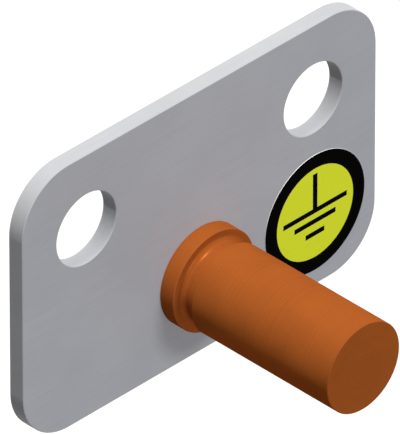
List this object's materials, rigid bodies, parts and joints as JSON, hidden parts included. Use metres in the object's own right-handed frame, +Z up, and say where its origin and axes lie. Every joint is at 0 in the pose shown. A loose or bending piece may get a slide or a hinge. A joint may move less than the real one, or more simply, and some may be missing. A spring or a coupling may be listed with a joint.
{
  "type": "grounding busbar",
  "caption": "Rounded flat steel plate with bolt holes in its upper corners, a collared round copper earthing stud and a round earth label.",
  "frame": {"origin": "midway between the two bolt holes, on the plate's back face", "axes": "+X along the plate to the right as seen from the front, +Z up the plate, the stud points forward along -Y"},
  "size_m": [0.078, 0.039, 0.05],
  "materials": {
    "zinc_plated_steel": "satin",
    "bare_copper": "turned satin",
    "label_vinyl": "matte"
  },
  "bodies": {
    "root": {"mounting_plate": "zinc_plated_steel", "ground_stud": "bare_copper", "earth_label": "label_vinyl"}
  },
  "joints": []
}
